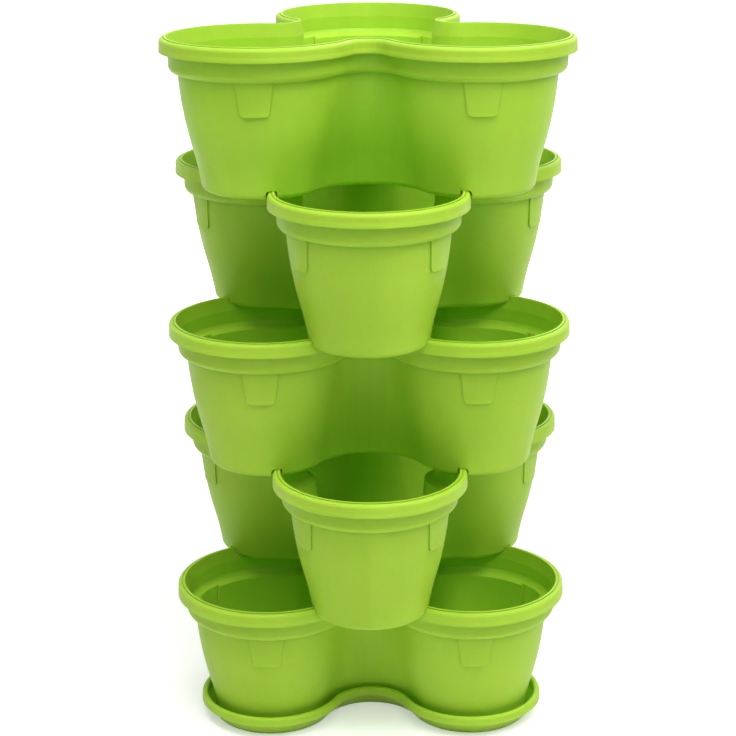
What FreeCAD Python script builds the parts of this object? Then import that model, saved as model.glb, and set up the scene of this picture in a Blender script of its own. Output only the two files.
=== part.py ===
# Vertical planter tower: five three-lobed pots stacked on a saucer, each pot turned
# 60 degrees from the one below it.
#
# Frame: millimetres, +Z up, origin at the middle of the saucer's underside.
#
# Every wall is one cross-section drawn over the lobe radius, which is the distance from a
# lobe's own upright axis.  It is swept round a trefoil of three lobe arcs and three waist
# arcs, whose centres stay where they are at every height, so the arcs always meet in
# tangency and the outline stays smooth however the section changes.

import FreeCAD
import Part
import Sketcher
import math
import os
import re
from FreeCAD import Placement, Rotation, Vector

# The driving dimensions: cell alias, size in millimetres or degrees, what it is.
SIZES = [
    ("lobe_reach", 119.5, "tower axis to each lobe axis"),
    ("waist_reach", 106.7, "tower axis to each waist axis of a pot"),
    ("wall", 2.0, "wall of a pot"),
    ("tier_pitch", 140.0, "height from one pot to the next"),
    ("nest_depth", 8.5, "how far the foot of a pot sinks below the rim it stands on"),
    ("floor_thickness", 2.0, "floor of a pot"),
    ("overlap", 0.2, "how far features that join run into each other"),
    ("foot_radius", 59.3, "lobe radius just above the foot"),
    ("foot_round", 6.5, "rounding of the foot"),
    ("flare_width", 7.9, "how much the wall widens from the foot to the flare height"),
    ("flare_height", 42.0, "height where the wall flares most"),
    ("flare_curve", 300.0, "curve of the wall below that height"),
    ("neck_width", 12.0, "how much the wall widens from there to the neck"),
    ("neck_curve", 360.0, "curve of the wall from there to the neck"),
    ("shoulder_width", 8.6, "neck to the collar, outwards"),
    ("shoulder_height", 7.0, "neck to the foot of the collar, upwards"),
    ("shoulder_rise", 1.6, "rise of the shoulder's underside"),
    ("shoulder_round", 3.6, "rounding of the shoulder under the collar"),
    ("collar_height", 14.0, "height of the collar"),
    ("collar_draft", 0.4, "how much wider the collar is under the rim"),
    ("mouth_width", 1.4, "foot of the collar's face to the mouth, outwards"),
    ("lip_width", 2.2, "width of the raised lip round the mouth"),
    ("lip_groove", 1.3, "depth of the fine groove beside the lip"),
    ("crown_drop", 0.8, "how far the rim's shoulder lies below the lip"),
    ("rim_width", 7.0, "mouth to the rim's face"),
    ("rim_height", 14.0, "height of the rim"),
    ("rim_round", 3.8, "rounding of the rim's outer shoulder"),
    ("rim_bead", 0.4, "how far the soft bead on the lower edge stands out"),
    ("bead_height", 5.0, "height of that bead"),
    ("panel_angle", 58.5, "middle of a grip panel from a lobe's outward direction"),
    ("panel_lap", 3.0, "how far a grip panel runs up into the shoulder"),
    ("panel_height", 34.5, "height of a grip panel"),
    ("panel_top_width", 36.5, "width of a grip panel at its top"),
    ("panel_bottom_width", 28.5, "width of a grip panel at its bottom"),
    ("panel_top_stand", 1.9, "how far a grip panel stands out of the neck"),
    ("panel_bottom_stand", 4.1, "how far it stands out of the straight line of the wall below"),
    ("panel_round", 4.5, "rounding of a grip panel's lower corners"),
    ("panel_root", 0.9, "how far a grip panel runs into the wall"),
    ("rim_gap", 1.2, "free room outside the rim in the channel that straddles it"),
    ("mouth_gap", 2.1, "free room inside the mouth in that channel"),
    ("channel_round", 3.5, "rounding of that channel over the rim's outer shoulder"),
    ("trim_inset", 2.8, "foot to where the channel's ridges end, carried down to the base"),
    ("trim_slope", 13.0, "outward slope of those ends, which lie inside the wall"),
    ("drain_bore", 7.0, "bore of a drain hole"),
    ("drain_ring", 36.0, "tower axis to the ring of drain holes"),
    ("dish_gap", 2.3, "a pot's foot to the saucer's foot, outwards"),
    ("dish_waist_gap", 4.4, "a pot's waist axes to the saucer's, inwards"),
    ("dish_wall", 2.0, "wall and floor of the saucer"),
    ("dish_foot_round", 2.4, "rounding of the saucer's foot"),
    ("dish_flare", 8.8, "how much the saucer widens from its foot to its rim"),
    ("dish_flank_step", 0.6, "how far the flank widens behind the saucer's rim"),
    ("dish_rim_width", 5.0, "the saucer's flank to the face of its rim"),
    ("dish_rim_height", 8.4, "height of the saucer's rim"),
    ("dish_rim_draft", 0.5, "how much narrower the saucer's rim is at its top"),
    ("dish_rim_round", 3.0, "rounding of the saucer's rim"),
    ("dish_mouth_inset", 1.4, "the saucer's flank to its mouth, inwards"),
    ("dish_height", 24.4, "height of the saucer"),
]

# Derived sizes, as formulas over the aliases.
POT_HEIGHT = "(tier_pitch + nest_depth)"
POT_LINK = "sqrt(lobe_reach^2 + waist_reach^2 - lobe_reach * waist_reach)"
FLARE_RADIUS = "(foot_radius + flare_width)"
NECK_RADIUS = f"({FLARE_RADIUS} + neck_width)"
COLLAR_RADIUS = f"({NECK_RADIUS} + shoulder_width)"
MOUTH_RADIUS = f"({COLLAR_RADIUS} + mouth_width)"
RIM_RADIUS = f"({MOUTH_RADIUS} + rim_width)"
RIM_FOOT = f"({POT_HEIGHT} - rim_height)"
COLLAR_FOOT = f"({RIM_FOOT} - collar_height)"
NECK_HEIGHT = f"({COLLAR_FOOT} - shoulder_height)"
DISH_WAIST = "(waist_reach - dish_waist_gap)"
DISH_LINK = f"sqrt(lobe_reach^2 + {DISH_WAIST}^2 - lobe_reach * {DISH_WAIST})"
DISH_FOOT = "(foot_radius + dish_gap)"
DISH_FLANK = f"({DISH_FOOT} + dish_flare)"
DISH_RIM = f"({DISH_FLANK} + dish_rim_width)"

LOBES = 3
TIERS = 5
DRAINS = 6
LOBE_DIRECTION = 90
EXPORT_FOLDER = "parts"

doc = FreeCAD.newDocument("planter_tower")
sheet = doc.addObject("Spreadsheet::Sheet", "Sizes")
for row, (alias, size, note) in enumerate(SIZES, start=1):
    sheet.set(f"A{row}", note)
    sheet.set(f"B{row}", str(size))
    sheet.setAlias(f"B{row}", alias)
doc.recompute()

ALIAS = re.compile(r"\b(" + "|".join(alias for alias, size, note in SIZES) + r")\b")


def formula(text):
    """The text as an expression that reads the sheet."""
    return ALIAS.sub(r"Sizes.\1", text)


def value(text):
    """What a formula gives now, as a plain number."""
    result = sheet.evalExpression(formula(text))
    return float(getattr(result, "Value", result))


def origin_plane(body, role):
    """One of the body's own origin planes or axes."""
    return [f for f in body.Origin.OriginFeatures if f.Role == role][0]


def new_sketch(body, name, role, height=None):
    """An empty sketch on one of the body's origin planes, raised by a formula."""
    sketch = body.newObject("Sketcher::SketchObject", name)
    sketch.AttachmentSupport = [(origin_plane(body, role), "")]
    sketch.MapMode = "FlatFace"
    if height:
        sketch.setExpression("AttachmentOffset.Base.z", formula(height))
    return sketch


def arc_centre(start, end, radius, turn):
    """Centre of the arc of under a half circle from start to end, turn 1 anticlockwise."""
    chord = end - start
    half = chord.Length / 2
    rise = math.sqrt(max(radius * radius - half * half, 0.0))
    across = Vector(-chord.y, chord.x, 0).normalize()
    return (start + end) * 0.5 + across * rise * turn


def pin(sketch, geometry, end, formulas):
    """Fixes one point of a sketch at two formulas."""
    for kind, text in zip(("DistanceX", "DistanceY"), formulas):
        index = sketch.addConstraint(
            Sketcher.Constraint(kind, -1, 1, geometry, end, value(text))
        )
        sketch.setExpression(f"Constraints[{index}]", formula(text))


def draw_outline(sketch, corners):
    """Draws a closed outline through (x, y, bend) corners.

    x and y are formulas.  bend is None where a straight side follows, or a pair of the
    arc's radius formula and its turn.
    """
    points = [Vector(value(x), value(y), 0) for x, y, bend in corners]
    for i, (x, y, bend) in enumerate(corners):
        start = points[i]
        end = points[(i + 1) % len(points)]
        if bend is None:
            sketch.addGeometry(Part.LineSegment(start, end))
            continue
        radius = value(bend[0])
        centre = arc_centre(start, end, radius, bend[1])
        first, last = (start, end) if bend[1] > 0 else (end, start)
        angles = [math.atan2(p.y - centre.y, p.x - centre.x) for p in (first, last)]
        circle = Part.Circle(centre, Vector(0, 0, 1), radius)
        sketch.addGeometry(Part.ArcOfCircle(circle, angles[0], angles[1]))
    ends = [(2, 1) if bend and bend[1] < 0 else (1, 2) for x, y, bend in corners]
    for i, (x, y, bend) in enumerate(corners):
        after = (i + 1) % len(corners)
        sketch.addConstraint(
            Sketcher.Constraint("Coincident", i, ends[i][1], after, ends[after][0])
        )
        pin(sketch, i, ends[i][0], (x, y))
        if bend:
            index = sketch.addConstraint(Sketcher.Constraint("Radius", i, value(bend[0])))
            sketch.setExpression(f"Constraints[{index}]", formula(bend[0]))


def polar(reach, angle, centre=("0", "0")):
    """Formulas of the point at a reach and an angle from a centre."""
    return (
        f"{centre[0]} + ({reach}) * cos({angle})",
        f"{centre[1]} + ({reach}) * sin({angle})",
    )


def half_lobe(link, waist):
    """Formula of half the angle that a lobe's arc covers."""
    return f"acos(({waist} / 2 - lobe_reach) / {link})"


def draw_trefoil(sketch, radius, link, waist, first_lobe=LOBE_DIRECTION):
    """Draws the outline of three lobes and three waists at one lobe radius."""
    corners = []
    for lobe in range(LOBES):
        direction = first_lobe + lobe * 360 // LOBES
        centre = polar("lobe_reach", f"{direction} deg")
        half = half_lobe(link, waist)
        for angle, bend in (
            (f"{direction} deg - {half}", (radius, 1)),
            (f"{direction} deg", (radius, 1)),
            (f"{direction} deg + {half}", (f"{link} - ({radius})", -1)),
        ):
            corners.append(polar(radius, angle, centre) + (bend,))
    draw_outline(sketch, corners)


def repeat_round(body, name, features, copies=LOBES):
    """Repeats features evenly round the tower's axis."""
    pattern = body.newObject("PartDesign::PolarPattern", name)
    pattern.Originals = features
    pattern.Axis = (origin_plane(body, "Z_Axis"), [""])
    pattern.Angle = 360
    pattern.Occurrences = copies
    body.Tip = pattern
    return pattern


def sweep(body, kind, name, path, section):
    """Sweeps a section round a closed flat path."""
    feature = body.newObject(kind, name)
    feature.Profile = section
    feature.Spine = (path, [])
    feature.Mode = "Standard"
    return feature


def add_wall(body, section, radius, link, waist):
    """Sweeps a wall section of (lobe radius, height, bend) corners round the trefoil."""
    path = new_sketch(body, "wall_path", "XY_Plane")
    draw_trefoil(path, radius, link, waist)
    profile = new_sketch(body, "wall_section", "YZ_Plane")
    draw_outline(profile, [(f"lobe_reach + {r}", z, bend) for r, z, bend in section])
    sweep(body, "PartDesign::AdditivePipe", "wall", path, profile)


def add_plate(body, radius, link, waist, thickness):
    """A flat floor in the trefoil outline."""
    outline = new_sketch(body, "floor_outline", "XY_Plane")
    draw_trefoil(outline, radius, link, waist)
    plate = body.newObject("PartDesign::Pad", "floor_plate")
    plate.Profile = outline
    plate.setExpression("Length", formula(thickness))


def pot_section():
    """The wall of a pot: foot, flared flank, shoulder, collar and hollow rim."""
    top = POT_HEIGHT
    shoulder = f"({NECK_HEIGHT} + shoulder_rise)"
    under_rim = f"({COLLAR_RADIUS} + collar_draft)"
    lip = f"({MOUTH_RADIUS} + lip_width)"
    bead = f"({RIM_RADIUS} + rim_bead)"
    crown = f"({RIM_RADIUS} - rim_round)"
    rim_back = f"({RIM_RADIUS} - wall)"
    groove = f"({top} - lip_groove)"
    outside = [
        ("(foot_radius - foot_round - wall)", "0", None),
        ("(foot_radius - foot_round)", "0", ("foot_round", 1)),
        ("foot_radius", "foot_round", ("flare_curve", -1)),
        (FLARE_RADIUS, "flare_height", ("neck_curve", 1)),
        (NECK_RADIUS, NECK_HEIGHT, None),
        (f"({COLLAR_RADIUS} - shoulder_round)", shoulder, ("2 * shoulder_round", 1)),
        (COLLAR_RADIUS, COLLAR_FOOT, None),
        (under_rim, RIM_FOOT, None),
        (f"({MOUTH_RADIUS} + wall)", f"({groove} - wall)", None),
        (rim_back, f"({groove} - wall - rim_round / 2)", None),
        (rim_back, RIM_FOOT, None),
        (bead, RIM_FOOT, None),
        (bead, f"({RIM_FOOT} + bead_height / 2)", None),
        (RIM_RADIUS, f"({RIM_FOOT} + bead_height)", None),
        (RIM_RADIUS, f"({top} - crown_drop - rim_round)", ("rim_round", 1)),
        (crown, f"({top} - crown_drop)", None),
        (crown, groove, None),
        (lip, groove, None),
        (lip, top, None),
        (MOUTH_RADIUS, top, None),
    ]
    inside = [
        (f"({under_rim} - wall)", RIM_FOOT, None),
        (f"({COLLAR_RADIUS} - wall)", f"({COLLAR_FOOT} + wall / 2)", ("2 * shoulder_round", -1)),
        (f"({COLLAR_RADIUS} - wall - shoulder_round)", f"({shoulder} + wall)", None),
        (f"({NECK_RADIUS} - wall)", f"({NECK_HEIGHT} + wall / 2)", ("neck_curve", -1)),
        (f"({FLARE_RADIUS} - wall)", "flare_height", ("flare_curve", 1)),
        ("(foot_radius - wall)", "foot_round", ("foot_round - wall", -1)),
        ("(foot_radius - foot_round)", "wall", None),
        ("(foot_radius - foot_round - wall)", "wall", None),
    ]
    return outside + inside


def add_panel(body, name, kind, side, inset):
    """A grip panel, or the recess behind it where inset is the wall's thickness."""
    top = f"({NECK_HEIGHT} + panel_lap)"
    bottom = f"({top} - panel_height)"
    fall = f"({NECK_HEIGHT} - {bottom}) / ({NECK_HEIGHT} - flare_height)"
    top_radius = f"({NECK_RADIUS} + panel_top_stand)"
    bottom_radius = f"({NECK_RADIUS} - neck_width * {fall} + panel_bottom_stand)"
    centre = ("0", "lobe_reach")
    direction = f"({LOBE_DIRECTION} deg + {side} * panel_angle * 1 deg)"
    back = "(wall + panel_root)" if inset == "0" else "(3 * wall)"
    stations = []
    for angle in (0, 45, 90):
        rise = f"panel_round * (1 - cos({angle} deg))"
        cut = f"panel_round * (1 - sin({angle} deg))"
        half_width = f"panel_bottom_width / 2 - {cut}"
        stations.append((f"({bottom} + {inset} + {rise})", bottom_radius, half_width))
    stations.append((top, top_radius, "panel_top_width / 2"))
    sections = []
    for step, (height, radius, half_width) in enumerate(stations):
        face = f"({radius} - {inset})"
        spread = f"asin(({half_width} - {inset}) / {radius})"
        inner = f"({face} - {back})"
        section = new_sketch(body, f"{name}_section_{step}", "XY_Plane", height)
        draw_outline(
            section,
            [
                polar(face, f"({direction} - {spread})", centre) + ((face, 1),),
                polar(face, f"({direction} + {spread})", centre) + (None,),
                polar(inner, f"({direction} + {spread})", centre) + ((inner, -1),),
                polar(inner, f"({direction} - {spread})", centre) + (None,),
            ],
        )
        sections.append(section)
    panel = body.newObject(kind, name)
    panel.Profile = sections[0]
    panel.Sections = sections[1:]
    panel.Ruled = True
    return panel


def channel(body, kind, name, bottom, skin):
    """The channel over the rim of the pot below, grown by a skin, on the rim's own path."""
    path = new_sketch(body, f"{name}_path", "XY_Plane")
    first_lobe = LOBE_DIRECTION + 180
    draw_trefoil(path, MOUTH_RADIUS, POT_LINK, "waist_reach", first_lobe)
    far = f"(-lobe_reach - {RIM_RADIUS} - rim_bead - rim_gap - {skin})"
    near = f"(-lobe_reach - {MOUTH_RADIUS} + mouth_gap + {skin})"
    top = f"(nest_depth + {skin})"
    inner_round = f"(rim_gap + {skin})"
    outer_round = f"(channel_round + {skin})"
    profile = new_sketch(body, f"{name}_section", "YZ_Plane")
    draw_outline(
        profile,
        [
            (far, bottom, None),
            (near, bottom, None),
            (near, f"{top} - {inner_round}", (inner_round, 1)),
            (f"({near} - {inner_round})", top, None),
            (f"({far} + {outer_round})", top, (outer_round, 1)),
            (far, f"({top} - {outer_round})", None),
        ],
    )
    return sweep(body, kind, name, path, profile)


def add_ridges(body):
    """Solid ridges on the floor inside which the channels run."""
    channel(body, "PartDesign::AdditivePipe", "ridge", "(floor_thickness - overlap)", "wall")
    outside = new_sketch(body, "ridge_trim_outline", "XY_Plane")
    draw_trefoil(outside, "(foot_radius - trim_inset)", POT_LINK, "waist_reach")
    reach = f"(2 * lobe_reach + {RIM_RADIUS})"
    ring = outside.addGeometry(Part.Circle(Vector(0, 0, 0), Vector(0, 0, 1), value(reach)))
    pin(outside, ring, 3, ("0", "0"))
    index = outside.addConstraint(Sketcher.Constraint("Radius", ring, value(reach)))
    outside.setExpression(f"Constraints[{index}]", formula(reach))
    trim = body.newObject("PartDesign::Pocket", "ridge_trim")
    trim.Profile = outside
    trim.Reversed = True
    trim.setExpression("Length", formula("2 * nest_depth"))
    trim.setExpression("TaperAngle", formula("trim_slope * 1 deg"))


def add_drains(body):
    """A drain hole in the middle of the floor and a ring of them round it."""
    holes = []
    for name, place in (("middle_drain", "0"), ("ring_drain", "drain_ring")):
        sketch = new_sketch(body, f"{name}_sketch", "XY_Plane")
        circle = Part.Circle(Vector(0, value(place), 0), Vector(0, 0, 1), value("drain_bore") / 2)
        sketch.addGeometry(circle)
        pin(sketch, 0, 3, ("0", place))
        index = sketch.addConstraint(Sketcher.Constraint("Diameter", 0, value("drain_bore")))
        sketch.setExpression(f"Constraints[{index}]", formula("drain_bore"))
        hole = body.newObject("PartDesign::Pocket", name)
        hole.Profile = sketch
        hole.Reversed = True
        hole.setExpression("Length", formula("floor_thickness"))
        holes.append(hole)
    repeat_round(body, "drain_pattern", holes[1:], DRAINS)


def pot():
    """The bottom pot, from which the others are cloned."""
    body = doc.addObject("PartDesign::Body", "planter_tier_1")
    add_ridges(body)
    floor_radius = "(foot_radius - foot_round)"
    add_plate(body, floor_radius, POT_LINK, "waist_reach", "floor_thickness")
    add_wall(body, pot_section(), "foot_radius", POT_LINK, "waist_reach")
    panels = []
    for side, name in ((-1, "right"), (1, "left")):
        panels.append(add_panel(body, f"{name}_panel", "PartDesign::AdditiveLoft", side, "0"))
    for side, name in ((-1, "right"), (1, "left")):
        panels.append(
            add_panel(body, f"{name}_recess", "PartDesign::SubtractiveLoft", side, "wall")
        )
    repeat_round(body, "panel_pattern", panels)
    channel(body, "PartDesign::SubtractivePipe", "channel", "-1", "0")
    add_drains(body)
    return body


def clone_pot(name, source):
    """Another pot of the same shape."""
    body = doc.addObject("PartDesign::Body", name)
    clone = doc.addObject("PartDesign::FeatureBase", f"{name}_form")
    clone.BaseFeature = source
    body.Group = [clone]
    body.Tip = clone
    return body


def dish_section():
    """The wall of the saucer: foot, flank and hollow rim."""
    rim_foot = "(dish_height - dish_rim_height)"
    flank_top = f"({rim_foot} - dish_wall / 2)"
    rim_top = f"({DISH_RIM} - dish_rim_draft)"
    rim_back = f"({DISH_RIM} - dish_wall)"
    under_top = "(dish_height - 2 * dish_wall)"
    outside = [
        (f"({DISH_FOOT} - dish_foot_round - dish_wall)", "0", None),
        (f"({DISH_FOOT} - dish_foot_round)", "0", ("dish_foot_round", 1)),
        (DISH_FOOT, "dish_foot_round", None),
        (DISH_FLANK, flank_top, None),
        (f"({DISH_FLANK} + dish_flank_step)", f"({under_top} + dish_wall / 2)", None),
        (rim_back, under_top, None),
        (rim_back, rim_foot, None),
        (DISH_RIM, rim_foot, None),
        (rim_top, "(dish_height - dish_rim_round)", ("dish_rim_round", 1)),
        (f"({rim_top} - dish_rim_round)", "dish_height", ("dish_rim_round", 1)),
        (f"({DISH_FLANK} - dish_mouth_inset)", "(dish_height - dish_wall)", None),
    ]
    inside = [
        (f"({DISH_FLANK} - dish_wall)", flank_top, None),
        (f"({DISH_FOOT} - dish_wall)", "dish_foot_round", None),
        (f"({DISH_FOOT} - dish_foot_round)", "dish_wall", None),
        (f"({DISH_FOOT} - dish_foot_round - dish_wall)", "dish_wall", None),
    ]
    return outside + inside


def dish():
    """The saucer under the bottom pot."""
    body = doc.addObject("PartDesign::Body", "saucer")
    radius = f"({DISH_FOOT} - dish_foot_round)"
    add_plate(body, radius, DISH_LINK, DISH_WAIST, "dish_wall")
    add_wall(body, dish_section(), radius, DISH_LINK, DISH_WAIST)
    return body


saucer = dish()
tiers = [pot()]
tiers += [clone_pot(f"planter_tier_{n}", tiers[0]) for n in range(2, TIERS + 1)]
for number, tier in enumerate(tiers):
    turned = Rotation(Vector(0, 0, 1), 180 * (number % 2))
    tier.Placement = Placement(Vector(0, 0, 0), turned)
    tier.setExpression(
        "Placement.Base.z", formula(f"(dish_wall + {number} * tier_pitch) * 1 mm")
    )
sub_parts = [saucer] + tiers
doc.recompute()

for item in doc.Objects:
    if "Invalid" in item.State or "Error" in item.State:
        raise RuntimeError(f"{item.Name} did not build: {item.State}")
for body in sub_parts:
    if body.Shape.isNull() or not body.Shape.isValid():
        raise RuntimeError(f"{body.Label} has no valid shape")
    if len(body.Shape.Solids) != 1:
        raise RuntimeError(f"{body.Label} is not one solid")

os.makedirs(EXPORT_FOLDER, exist_ok=True)
for body in sub_parts:
    body.Shape.exportStep(os.path.join(EXPORT_FOLDER, f"{body.Label}.step"))
    print(f"{body.Label}: {body.Shape.Volume / 1000:.1f} cm3")
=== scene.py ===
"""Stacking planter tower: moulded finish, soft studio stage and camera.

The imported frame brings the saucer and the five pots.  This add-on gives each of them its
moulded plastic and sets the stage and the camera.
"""

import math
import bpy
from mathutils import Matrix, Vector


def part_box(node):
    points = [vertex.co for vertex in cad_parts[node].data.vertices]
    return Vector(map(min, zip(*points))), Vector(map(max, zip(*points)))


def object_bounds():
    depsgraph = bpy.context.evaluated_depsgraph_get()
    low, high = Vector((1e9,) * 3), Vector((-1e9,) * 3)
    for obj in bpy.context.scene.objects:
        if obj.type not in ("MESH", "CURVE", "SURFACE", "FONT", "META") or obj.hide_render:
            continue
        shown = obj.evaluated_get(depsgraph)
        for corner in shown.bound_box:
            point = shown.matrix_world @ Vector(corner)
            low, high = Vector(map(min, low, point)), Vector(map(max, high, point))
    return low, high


bl_info = {
    "name": "Stacking Planter Tower",
    "version": (1, 0, 0),
    "blender": (4, 5, 0),
    "location": "3D View > Sidebar > Planter",
    "description": "Moulded plastic, stage and camera for a tower of stacking planters",
    "category": "Object",
}

import bpy
from mathutils import Matrix, Vector

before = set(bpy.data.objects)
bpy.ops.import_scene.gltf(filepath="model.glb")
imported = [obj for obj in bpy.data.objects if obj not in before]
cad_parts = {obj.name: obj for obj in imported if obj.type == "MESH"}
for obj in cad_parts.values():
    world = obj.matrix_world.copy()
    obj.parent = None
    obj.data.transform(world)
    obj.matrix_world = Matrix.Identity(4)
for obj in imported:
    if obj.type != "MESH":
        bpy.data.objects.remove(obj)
CAD_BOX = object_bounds()

SAUCER = "saucer"
TIERS = [f"planter_tier_{number}" for number in range(1, 6)]
PLASTIC_IOR = 1.49
FLOOR_ROUGHNESS = 0.9
FLOOR_SIDE = 60.0
SENSOR_WIDTH = 36.0
WHITE = (1.0, 1.0, 1.0, 1.0)
# Rays that the soft edge and the painted crease shade send out at each spot.
EDGE_SAMPLES = 6
CREASE_SAMPLES = 8
# Noise scales, in waves per metre, but for the streaks, which go round the piece.
FLOW_SCALE = 9.0
STREAK_SCALE = 7.0
EDGE_HIGHLIGHT_SCALE = 120.0
CREASE_SCALE = 60.0
# The coarse patches of the grain, as a share of the fine grain's scale.
GRAIN_PATCHES = 0.08
# How much of the flow mask comes from the streaks; the rest is the broad noise.
STREAK_SHARE = 0.4
# Where the masks begin and end.
NOISE_STEP = (0.35, 0.65)
EDGE_HIGHLIGHT_STEP = (0.3, 0.7)
BEND_STEP = (0.02, 0.25)
CREASE_STEP = (0.04, 0.5)
# The deepest painted shade in a narrow groove, and how far noise breaks the painted shade up.
CREASE_LIMIT = 0.6
CREASE_PATCHES = 0.5
# How much of the painted edge highlight colour an edge takes, and how far the grain varies the
# roughness.
EDGE_HIGHLIGHT_SHARE = 0.35
ROUGHNESS_RANGE = 0.08
# How far the pattern turns from one pot to the next, in radians.
PATTERN_TURN = 0.7
# How far red, green and blue light spread in the plastic, as shares of the light depth.
LIGHT_SPREAD = (0.35, 1.0, 0.35)
# Lamps: name, place and side in metres, and the setting that holds the power.
LAMPS = (
    ("right lamp", (1.6, -0.8, 2.6), 1.4, "right_power"),
    ("front lamp", (0.2, -2.0, 2.6), 1.4, "front_power"),
    ("high lamp", (0.0, -1.2, 3.2), 1.2, "high_power"),
    ("left lamp", (-1.2, -0.7, 3.2), 1.2, "left_power"),
    ("back lamp", (0.9, 2.2, 2.4), 1.6, "back_power"),
)


class PlanterPlastic(bpy.types.PropertyGroup):
    """The moulded plastic of the pots and the saucer."""

    colour: bpy.props.FloatVectorProperty(
        name="Colour",
        description="Colour of the plastic",
        subtype="COLOR",
        size=3,
        min=0.0,
        max=1.0,
        default=(0.43, 0.675, 0.045),
    )
    thin_colour: bpy.props.FloatVectorProperty(
        name="Thin colour",
        description="Colour where the plastic flowed thin and lets more light through",
        subtype="COLOR",
        size=3,
        min=0.0,
        max=1.0,
        default=(0.47, 0.725, 0.055),
    )
    # Painted highlight: a paler colour laid on the moulded edges, where they catch the light.
    edge_highlight_colour: bpy.props.FloatVectorProperty(
        name="Edge highlight colour",
        description="Colour of corners rubbed pale by stacking",
        subtype="COLOR",
        size=3,
        min=0.0,
        max=1.0,
        default=(0.58, 0.79, 0.13),
    )
    # Painted shade: a darker colour laid in the creases, where less light gets in.
    crease_shade_colour: bpy.props.FloatVectorProperty(
        name="Crease shade colour",
        description="Colour in the creases, where dust stays and less light gets in",
        subtype="COLOR",
        size=3,
        min=0.0,
        max=1.0,
        default=(0.27, 0.48, 0.035),
    )
    # Painted shade: how far from a crease the darker colour reaches.
    crease_shade_reach: bpy.props.FloatProperty(
        name="Crease shade reach",
        description="How far from a crease the darker colour reaches",
        subtype="DISTANCE",
        unit="LENGTH",
        min=0.0,
        default=0.009,
    )
    gloss: bpy.props.FloatProperty(
        name="Roughness",
        description="Roughness of the satin surface",
        subtype="FACTOR",
        min=0.0,
        max=1.0,
        default=0.46,
    )
    shine: bpy.props.FloatProperty(
        name="Shine",
        description="Strength of the mirror-like part of the light",
        subtype="FACTOR",
        min=0.0,
        max=1.0,
        default=0.22,
    )
    grain_size: bpy.props.FloatProperty(
        name="Grain size",
        description="Size of the grain that the mould leaves",
        subtype="DISTANCE",
        unit="LENGTH",
        min=0.0001,
        default=0.0011,
    )
    grain_depth: bpy.props.FloatProperty(
        name="Grain depth",
        description="Depth of the grain that the mould leaves",
        subtype="DISTANCE",
        unit="LENGTH",
        min=0.0,
        default=0.00004,
    )
    edge_round: bpy.props.FloatProperty(
        name="Edge softness",
        description="Radius to which the moulded edges are softened",
        subtype="DISTANCE",
        unit="LENGTH",
        min=0.0,
        default=0.00035,
    )
    translucency: bpy.props.FloatProperty(
        name="Translucency",
        description="Share of the light that enters the plastic and comes out beside the spot",
        subtype="FACTOR",
        min=0.0,
        max=1.0,
        default=0.5,
    )
    light_depth: bpy.props.FloatProperty(
        name="Light depth",
        description="How far that light travels inside the plastic",
        subtype="DISTANCE",
        unit="LENGTH",
        min=0.0,
        default=0.005,
    )


class PlanterStage(bpy.types.PropertyGroup):
    """Floor, lamps and camera."""

    right_power: bpy.props.FloatProperty(
        name="Right lamp",
        description="Power of the lamp high at the right",
        subtype="POWER",
        min=0.0,
        default=33.5,
    )
    front_power: bpy.props.FloatProperty(
        name="Front lamp",
        description="Power of the lamp in front",
        subtype="POWER",
        min=0.0,
        default=19.0,
    )
    high_power: bpy.props.FloatProperty(
        name="High lamp",
        description="Power of the lamp high over the front",
        subtype="POWER",
        min=0.0,
        default=31.5,
    )
    left_power: bpy.props.FloatProperty(
        name="Left lamp",
        description="Power of the lamp high at the left",
        subtype="POWER",
        min=0.0,
        default=21.0,
    )
    back_power: bpy.props.FloatProperty(
        name="Back lamp",
        description="Power of the lamp behind",
        subtype="POWER",
        min=0.0,
        default=24.0,
    )
    sky: bpy.props.FloatProperty(
        name="Room light",
        description="Strength of the even light all round",
        min=0.0,
        default=0.17,
    )
    floor_colour: bpy.props.FloatVectorProperty(
        name="Floor colour",
        description="Colour of the plain floor",
        subtype="COLOR",
        size=3,
        min=0.0,
        max=1.0,
        default=(0.86, 0.86, 0.86),
    )
    floor_glow: bpy.props.FloatProperty(
        name="Floor lift",
        description="How much paler than lit the camera sees the floor near the tower",
        min=0.0,
        max=1.0,
        default=0.42,
    )
    white_from: bpy.props.FloatProperty(
        name="White from",
        description="Distance from the tower at which the floor is plain white",
        subtype="DISTANCE",
        unit="LENGTH",
        min=0.1,
        default=1.6,
    )
    camera_place: bpy.props.FloatVectorProperty(
        name="Camera place",
        description="Where the camera stands",
        subtype="TRANSLATION",
        unit="LENGTH",
        size=3,
        default=(-0.001486, -1.87996, 0.94299),
    )
    camera_tilt: bpy.props.FloatProperty(
        name="Camera tilt",
        description="How far the camera looks down",
        subtype="ANGLE",
        default=math.radians(17.27),
    )
    camera_roll: bpy.props.FloatProperty(
        name="Camera roll",
        description="How far the camera leans",
        subtype="ANGLE",
        default=math.radians(-0.269),
    )
    camera_lens: bpy.props.FloatProperty(
        name="Lens",
        description="Focal length on a 36 mm wide sensor",
        subtype="DISTANCE_CAMERA",
        min=1.0,
        default=92.685,
    )


def new_group(name, inputs, outputs):
    """An empty shader node group with named sockets."""
    tree = bpy.data.node_groups.new(name, "ShaderNodeTree")
    for label, kind, default in inputs:
        socket = tree.interface.new_socket(label, in_out="INPUT", socket_type=kind)
        if default is not None:
            socket.default_value = default
    for label, kind in outputs:
        tree.interface.new_socket(label, in_out="OUTPUT", socket_type=kind)
    return tree, tree.nodes.new("NodeGroupInput"), tree.nodes.new("NodeGroupOutput")


def math_node(tree, operation, first, second=None, third=None):
    """A Math node fed by sockets or plain numbers; gives its output."""
    node = tree.nodes.new("ShaderNodeMath")
    node.operation = operation
    for socket, source in zip(node.inputs, (first, second, third)):
        if source is None:
            continue
        if isinstance(source, (int, float)):
            socket.default_value = source
        else:
            tree.links.new(source, socket)
    return node.outputs[0]


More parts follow.
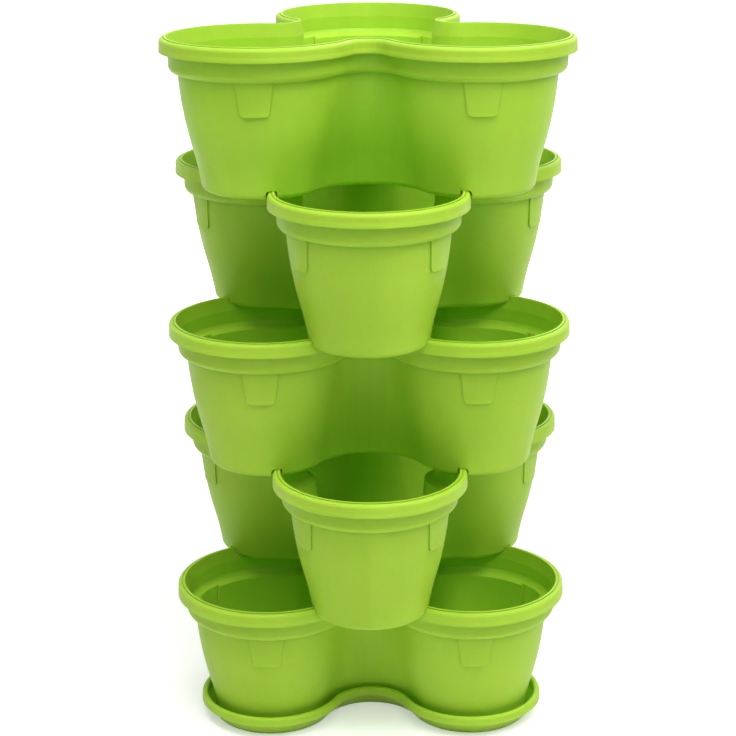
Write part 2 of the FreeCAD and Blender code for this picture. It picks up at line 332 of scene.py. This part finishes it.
def noise_node(tree, vector, scale, detail=2.0, roughness=0.5):
    """A Noise Texture; gives its value."""
    node = tree.nodes.new("ShaderNodeTexNoise")
    node.inputs["Detail"].default_value = detail
    node.inputs["Roughness"].default_value = roughness
    tree.links.new(vector, node.inputs["Vector"])
    if isinstance(scale, (int, float)):
        node.inputs["Scale"].default_value = scale
    else:
        tree.links.new(scale, node.inputs["Scale"])
    return node.outputs["Fac"]


def ramp_node(tree, source, low, high):
    """A smooth step from 0 at low to 1 at high."""
    node = tree.nodes.new("ShaderNodeMapRange")
    node.interpolation_type = "SMOOTHSTEP"
    node.inputs["From Min"].default_value = low
    node.inputs["From Max"].default_value = high
    tree.links.new(source, node.inputs["Value"])
    return node.outputs["Result"]


def mix_colour(tree, factor, first, second):
    """A colour mix fed by sockets; gives its output."""
    node = tree.nodes.new("ShaderNodeMix")
    node.data_type = "RGBA"
    tree.links.new(factor, node.inputs["Factor"])
    for name, source in (("A", first), ("B", second)):
        socket = [s for s in node.inputs if s.name == name and s.type == "RGBA"][0]
        if isinstance(source, tuple):
            socket.default_value = source
        else:
            tree.links.new(source, socket)
    return [s for s in node.outputs if s.type == "RGBA"][0]


def grain_group():
    """Fine mould grain: a height, and a mask for roughness."""
    tree, given, result = new_group(
        "Mould grain",
        [("Vector", "NodeSocketVector", None), ("Size", "NodeSocketFloat", 0.001)],
        [("Height", "NodeSocketFloat"), ("Mask", "NodeSocketFloat")],
    )
    scale = math_node(tree, "DIVIDE", 1.0, given.outputs["Size"])
    fine = noise_node(tree, given.outputs["Vector"], scale, 3.0, 0.6)
    coarse_scale = math_node(tree, "MULTIPLY", scale, GRAIN_PATCHES)
    coarse = noise_node(tree, given.outputs["Vector"], coarse_scale)
    tree.links.new(fine, result.inputs["Height"])
    tree.links.new(ramp_node(tree, coarse, *NOISE_STEP), result.inputs["Mask"])
    return tree


def flow_group():
    """How the plastic flowed out from the middle of the floor: a soft mask."""
    tree, given, result = new_group(
        "Plastic flow",
        [("Vector", "NodeSocketVector", None)],
        [("Mask", "NodeSocketFloat")],
    )
    broad = noise_node(tree, given.outputs["Vector"], FLOW_SCALE)
    split = tree.nodes.new("ShaderNodeSeparateXYZ")
    tree.links.new(given.outputs["Vector"], split.inputs[0])
    angle = math_node(tree, "ARCTAN2", split.outputs["Y"], split.outputs["X"])
    around = tree.nodes.new("ShaderNodeCombineXYZ")
    tree.links.new(math_node(tree, "COSINE", angle), around.inputs["X"])
    tree.links.new(math_node(tree, "SINE", angle), around.inputs["Y"])
    streaks = noise_node(tree, around.outputs[0], STREAK_SCALE, 3.0)
    broad = math_node(tree, "MULTIPLY", broad, 1.0 - STREAK_SHARE)
    both = math_node(tree, "MULTIPLY_ADD", streaks, STREAK_SHARE, broad)
    tree.links.new(ramp_node(tree, both, *NOISE_STEP), result.inputs["Mask"])
    return tree


def edge_group():
    """Softened normal at the moulded edges, and a mask near an edge that carries a painted
    highlight.
    """
    tree, given, result = new_group(
        "Moulded edge",
        [("Vector", "NodeSocketVector", None)],
        [("Mask", "NodeSocketFloat"), ("Normal", "NodeSocketVector")],
    )
    bevel = tree.nodes.new("ShaderNodeBevel")
    bevel.samples = EDGE_SAMPLES
    bevel.inputs["Radius"].default_value = bpy.context.scene.planter_plastic.edge_round
    plain = tree.nodes.new("ShaderNodeNewGeometry")
    dot = tree.nodes.new("ShaderNodeVectorMath")
    dot.operation = "DOT_PRODUCT"
    tree.links.new(bevel.outputs[0], dot.inputs[0])
    tree.links.new(plain.outputs["Normal"], dot.inputs[1])
    bent = math_node(tree, "SUBTRACT", 1.0, dot.outputs["Value"])
    patchy = noise_node(tree, given.outputs["Vector"], EDGE_HIGHLIGHT_SCALE, 3.0)
    patchy = ramp_node(tree, patchy, *EDGE_HIGHLIGHT_STEP)
    mask = math_node(tree, "MULTIPLY", ramp_node(tree, bent, *BEND_STEP), patchy)
    tree.links.new(mask, result.inputs["Mask"])
    tree.links.new(bevel.outputs[0], result.inputs["Normal"])
    return tree


def painted_crease_shade_group():
    """Painted shade in the creases: a mask, a little broken up, that darkens the colour where
    one moulded face meets another and less light gets in.
    """
    tree, given, result = new_group(
        "Moulded crease",
        [("Vector", "NodeSocketVector", None), ("Reach", "NodeSocketFloat", 0.01)],
        [("Mask", "NodeSocketFloat")],
    )
    open_sky = tree.nodes.new("ShaderNodeAmbientOcclusion")
    open_sky.samples = CREASE_SAMPLES
    open_sky.only_local = True
    tree.links.new(given.outputs["Reach"], open_sky.inputs["Distance"])
    shut = math_node(tree, "SUBTRACT", 1.0, open_sky.outputs["AO"])
    patchy = noise_node(tree, given.outputs["Vector"], CREASE_SCALE)
    share = math_node(
        tree, "MULTIPLY_ADD", patchy, CREASE_PATCHES, 1.0 - CREASE_PATCHES / 2
    )
    depth = math_node(tree, "MINIMUM", ramp_node(tree, shut, *CREASE_STEP), CREASE_LIMIT)
    mask = math_node(tree, "MULTIPLY", depth, share)
    tree.links.new(mask, result.inputs["Mask"])
    return tree


def place_group(tree, group, vector, **values):
    """Puts a shared group in a material and feeds it the vector."""
    node = tree.nodes.new("ShaderNodeGroup")
    node.node_tree = group
    tree.links.new(vector, node.inputs["Vector"])
    for name, value in values.items():
        node.inputs[name].default_value = value
    return node


def moulded_plastic(name, base, turn, groups):
    """Satin moulded plastic, with its pattern centred on one piece."""
    look = bpy.context.scene.planter_plastic
    material = bpy.data.materials.new(name)
    material.use_nodes = True
    tree = material.node_tree
    shader = tree.nodes["Principled BSDF"]
    here = tree.nodes.new("ShaderNodeTexCoord")
    centre = tree.nodes.new("ShaderNodeMapping")
    centre.inputs["Location"].default_value = (0.0, 0.0, -base)
    centre.inputs["Rotation"].default_value = (0.0, 0.0, turn)
    tree.links.new(here.outputs["Object"], centre.inputs["Vector"])
    vector = centre.outputs["Vector"]
    grain = place_group(tree, groups["grain"], vector, Size=look.grain_size)
    flow = place_group(tree, groups["flow"], vector)
    edge = place_group(tree, groups["edge"], vector)
    body = mix_colour(
        tree, flow.outputs["Mask"], (*look.colour, 1.0), (*look.thin_colour, 1.0)
    )
    # Painted shade: the crease shade colour darkens the body in creases, where less light gets
    # in.
    crease = place_group(tree, groups["crease"], vector, Reach=look.crease_shade_reach)
    body = mix_colour(tree, crease.outputs["Mask"], body, (*look.crease_shade_colour, 1.0))
    # Painted highlight: the moulded edges take a paler colour.
    edge_highlight = math_node(tree, "MULTIPLY", edge.outputs["Mask"], EDGE_HIGHLIGHT_SHARE)
    colour = mix_colour(tree, edge_highlight, body, (*look.edge_highlight_colour, 1.0))
    tree.links.new(colour, shader.inputs["Base Color"])
    rough = math_node(
        tree,
        "MULTIPLY_ADD",
        grain.outputs["Mask"],
        ROUGHNESS_RANGE,
        look.gloss - ROUGHNESS_RANGE / 2,
    )
    tree.links.new(rough, shader.inputs["Roughness"])
    bump = tree.nodes.new("ShaderNodeBump")
    bump.inputs["Strength"].default_value = 1.0
    bump.inputs["Distance"].default_value = look.grain_depth
    tree.links.new(grain.outputs["Height"], bump.inputs["Height"])
    tree.links.new(edge.outputs["Normal"], bump.inputs["Normal"])
    tree.links.new(bump.outputs["Normal"], shader.inputs["Normal"])
    shader.inputs["IOR"].default_value = PLASTIC_IOR
    shader.inputs["Specular IOR Level"].default_value = look.shine
    shader.inputs["Subsurface Weight"].default_value = look.translucency
    shader.inputs["Subsurface Radius"].default_value = LIGHT_SPREAD
    shader.inputs["Subsurface Scale"].default_value = look.light_depth
    return material


def shared_groups():
    """The shader groups that every plastic uses, each built once."""
    made = {
        "grain": ("Mould grain", grain_group),
        "flow": ("Plastic flow", flow_group),
        "edge": ("Moulded edge", edge_group),
        "crease": ("Moulded crease", painted_crease_shade_group),
    }
    return {
        key: bpy.data.node_groups.get(name) or build()
        for key, (name, build) in made.items()
    }


def give_finish(node, material):
    """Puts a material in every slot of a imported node."""
    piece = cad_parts[node]
    for slot in piece.material_slots:
        slot.material = material


class PLANTER_OT_saucer(bpy.types.Operator):
    """Give the saucer its moulded plastic"""

    bl_idname = "planter.saucer"
    bl_label = "Saucer"

    def execute(self, context):
        give_finish(SAUCER, moulded_plastic("Saucer plastic", 0.0, 0.0, shared_groups()))
        return {"FINISHED"}


class PLANTER_OT_pots(bpy.types.Operator):
    """Give each pot its moulded plastic, with the pattern turned as the pot is turned"""

    bl_idname = "planter.pots"
    bl_label = "Pots"

    def execute(self, context):
        groups = shared_groups()
        for number, node in enumerate(TIERS):
            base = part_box(node)[0].z
            turn = math.pi * (number % 2) + PATTERN_TURN * number
            give_finish(node, moulded_plastic(f"Pot plastic {number + 1}", base, turn, groups))
        return {"FINISHED"}


def add_lamp(name, place, target, size, power):
    """A square area lamp aimed at a point."""
    bpy.ops.object.light_add(type="AREA", location=place)
    lamp = bpy.context.object
    lamp.name = name
    lamp.data.shape = "SQUARE"
    lamp.data.size = size
    lamp.data.energy = power
    aim = Vector(target) - Vector(place)
    lamp.rotation_euler = aim.to_track_quat("-Z", "Y").to_euler()
    return lamp


def seen_directly(tree):
    """1 for what the camera sees, also in a gloss or through a clear piece, else 0."""
    path = tree.nodes.new("ShaderNodeLightPath")
    seen = path.outputs["Is Camera Ray"]
    for name in ("Is Glossy Ray", "Is Transmission Ray"):
        seen = math_node(tree, "MAXIMUM", seen, path.outputs[name])
    return seen


def floor_material(colour, lift, reach):
    """Plain pale floor that keeps the shadow near the tower and turns white farther out.

    The fade begins at half the reach.
    """
    material = bpy.data.materials.new("Floor")
    material.use_nodes = True
    tree = material.node_tree
    shader = tree.nodes["Principled BSDF"]
    shader.inputs["Base Color"].default_value = (*colour, 1.0)
    shader.inputs["Roughness"].default_value = FLOOR_ROUGHNESS
    here = tree.nodes.new("ShaderNodeTexCoord")
    length = tree.nodes.new("ShaderNodeVectorMath")
    length.operation = "LENGTH"
    tree.links.new(here.outputs["Object"], length.inputs[0])
    far = ramp_node(tree, length.outputs["Value"], reach / 2, reach)
    glow = tree.nodes.new("ShaderNodeEmission")
    strength = math_node(tree, "MULTIPLY_ADD", far, 1.0 - lift, lift)
    tree.links.new(
        math_node(tree, "MULTIPLY", strength, seen_directly(tree)), glow.inputs["Strength"]
    )
    both = tree.nodes.new("ShaderNodeAddShader")
    tree.links.new(shader.outputs[0], both.inputs[0])
    tree.links.new(glow.outputs[0], both.inputs[1])
    tree.links.new(both.outputs[0], tree.nodes["Material Output"].inputs["Surface"])
    return material


def set_world(strength):
    """Even light all round, seen as plain white by the camera."""
    world = bpy.data.worlds.new("Room")
    bpy.context.scene.world = world
    world.use_nodes = True
    tree = world.node_tree
    tree.nodes.clear()
    out = tree.nodes.new("ShaderNodeOutputWorld")
    light = tree.nodes.new("ShaderNodeBackground")
    light.inputs["Color"].default_value = WHITE
    light.inputs["Strength"].default_value = strength
    white = tree.nodes.new("ShaderNodeBackground")
    white.inputs["Color"].default_value = WHITE
    white.inputs["Strength"].default_value = 1.0
    mix = tree.nodes.new("ShaderNodeMixShader")
    tree.links.new(seen_directly(tree), mix.inputs["Fac"])
    tree.links.new(light.outputs[0], mix.inputs[1])
    tree.links.new(white.outputs[0], mix.inputs[2])
    tree.links.new(mix.outputs[0], out.inputs["Surface"])


class PLANTER_OT_stage(bpy.types.Operator):
    """Set the floor, the lamps and the camera"""

    bl_idname = "planter.stage"
    bl_label = "Stage"

    def execute(self, context):
        stage = context.scene.planter_stage
        bpy.ops.mesh.primitive_plane_add(size=FLOOR_SIDE, location=(0.0, 0.0, 0.0))
        floor = context.object
        floor.name = "floor"
        floor.data.materials.append(
            floor_material(stage.floor_colour, stage.floor_glow, stage.white_from)
        )
        aim = (Vector(CAD_BOX[0]) + Vector(CAD_BOX[1])) / 2
        for name, place, size, setting in LAMPS:
            add_lamp(name, place, aim, size, getattr(stage, setting))
        set_world(stage.sky)
        bpy.ops.object.camera_add(location=stage.camera_place)
        camera = context.object
        camera.name = "camera"
        tilt = Matrix.Rotation(math.pi / 2 - stage.camera_tilt, 3, "X")
        roll = Matrix.Rotation(stage.camera_roll, 3, "Z")
        camera.rotation_euler = (tilt @ roll).to_euler()
        camera.data.lens = stage.camera_lens
        camera.data.sensor_width = SENSOR_WIDTH
        context.scene.camera = camera
        context.scene.view_settings.view_transform = "Standard"
        return {"FINISHED"}


class PLANTER_PT_panel(bpy.types.Panel):
    """Lists the steps and their settings"""

    bl_label = "Planter tower"
    bl_idname = "PLANTER_PT_panel"
    bl_space_type = "VIEW_3D"
    bl_region_type = "UI"
    bl_category = "Planter"

    def draw(self, context):
        for settings, steps in (
            (context.scene.planter_plastic, (PLANTER_OT_saucer, PLANTER_OT_pots)),
            (context.scene.planter_stage, (PLANTER_OT_stage,)),
        ):
            box = self.layout.box()
            for name in settings.bl_rna.properties.keys():
                if name not in ("rna_type", "name"):
                    box.prop(settings, name)
            for step in steps:
                box.operator(step.bl_idname)


CLASSES = (
    PlanterPlastic,
    PlanterStage,
    PLANTER_OT_saucer,
    PLANTER_OT_pots,
    PLANTER_OT_stage,
    PLANTER_PT_panel,
)


def register():
    for cls in CLASSES:
        bpy.utils.register_class(cls)
    bpy.types.Scene.planter_plastic = bpy.props.PointerProperty(type=PlanterPlastic)
    bpy.types.Scene.planter_stage = bpy.props.PointerProperty(type=PlanterStage)


def unregister():
    del bpy.types.Scene.planter_stage
    del bpy.types.Scene.planter_plastic
    for cls in reversed(CLASSES):
        bpy.utils.unregister_class(cls)


def main():
    """Builds the scene."""
    register()
    bpy.ops.planter.saucer()
    bpy.ops.planter.pots()
    bpy.ops.planter.stage()


if __name__ == "__main__":
    main()
